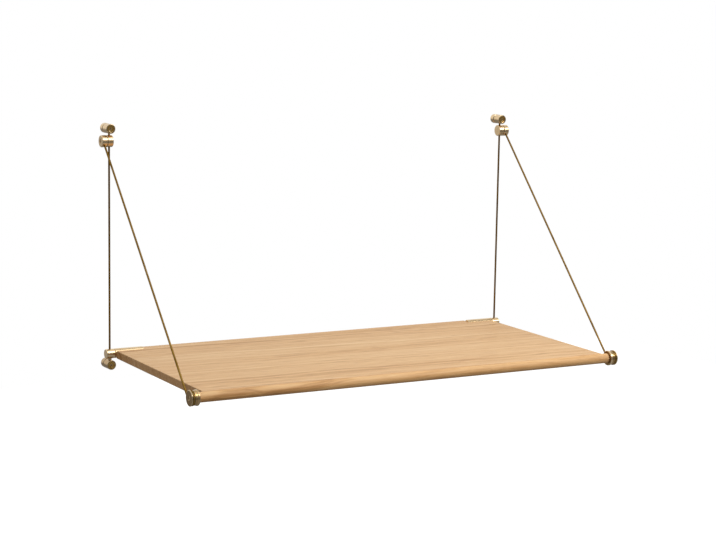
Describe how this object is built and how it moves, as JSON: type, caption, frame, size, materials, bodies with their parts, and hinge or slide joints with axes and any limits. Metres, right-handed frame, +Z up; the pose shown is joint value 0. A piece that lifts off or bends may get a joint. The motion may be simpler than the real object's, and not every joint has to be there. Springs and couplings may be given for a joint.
{
  "type": "folding desk",
  "caption": "Wall-hung folding desk: an oak board with a round front rail on turned brass fittings, held by brass guide rods and diagonal stays; it slides up and hangs flat.",
  "frame": {"origin": "centre of the four wall fixings, on the wall plane", "axes": "+X along the board to the right seen from the room, +Y into the wall, +Z up"},
  "size_m": [0.9618, 0.4745, 0.5],
  "materials": {
    "oak": "oiled light oak",
    "brass": "turned, satin",
    "brass_rod": "drawn rod, satin",
    "screw_steel": "browned",
    "polymer": "matt black"
  },
  "bodies": {
    "wall_frame": {"lower_left_rosette": "brass", "lower_left_rod_holder": "brass", "lower_right_rosette": "brass", "lower_right_rod_holder": "brass", "upper_left_rosette": "brass", "upper_left_rod_holder": "brass", "upper_right_rosette": "brass", "upper_right_rod_holder": "brass", "holder_clamp_screws": "screw_steel", "spigot_lock_screws": "screw_steel", "collar_clamp_screws": "screw_steel", "left_guide_rod": "brass_rod", "left_rest_sleeve": "brass", "left_upper_collar": "brass", "left_pivot_insert": "screw_steel", "right_guide_rod": "brass_rod", "right_rest_sleeve": "brass", "right_upper_collar": "brass", "right_pivot_insert": "screw_steel"},
    "sliders": {"left_slider": "brass", "left_slider_bush": "polymer", "left_hinge_pin": "screw_steel", "right_slider": "brass", "right_slider_bush": "polymer", "right_hinge_pin": "screw_steel"},
    "desktop": {"desktop_board": "oak", "front_rail": "oak", "hinge_bar_screws": "screw_steel", "left_hinge_bar": "brass", "left_hinge_bush": "polymer", "left_spool_flange": "brass", "left_spool_washer": "brass", "left_spool_hub": "brass", "left_spool_screw": "screw_steel", "right_hinge_bar": "brass", "right_hinge_bush": "polymer", "right_spool_flange": "brass", "right_spool_washer": "brass", "right_spool_hub": "brass", "right_spool_screw": "screw_steel"},
    "left_stay": {"left_stay_rod": "brass_rod", "left_swivel_knuckle": "brass", "left_pivot_screw": "screw_steel", "left_pivot_washer": "polymer"},
    "right_stay": {"right_stay_rod": "brass_rod", "right_swivel_knuckle": "brass", "right_pivot_screw": "screw_steel", "right_pivot_washer": "polymer"}
  },
  "joints": [
    {"name": "slider_lift", "type": "slide", "parent": "wall_frame", "child": "sliders", "axis": [0, 0, 1], "range_m": [0, 0.2518]},
    {"name": "desktop_fold", "type": "hinge", "parent": "sliders", "child": "desktop", "pos_m": [0, -0.023, -0.218], "axis": [1, 0, 0], "range_deg": [0, 90]},
    {"name": "left_stay_turn", "type": "hinge", "parent": "desktop", "child": "left_stay", "pos_m": [-0.4752, -0.459, -0.222], "axis": [1, 0, 0], "range_deg": [-44.7, 0]},
    {"name": "right_stay_turn", "type": "hinge", "parent": "desktop", "child": "right_stay", "pos_m": [0.4752, -0.459, -0.222], "axis": [1, 0, 0], "range_deg": [-44.7, 0]}
  ],
  "couplings": [
    {"joint": "slider_lift", "follows": "desktop_fold", "m_per_rad": 0.16024},
    {"joint": "left_stay_turn", "follows": "desktop_fold", "ratio": -0.4966},
    {"joint": "right_stay_turn", "follows": "desktop_fold", "ratio": -0.4966}
  ]
}
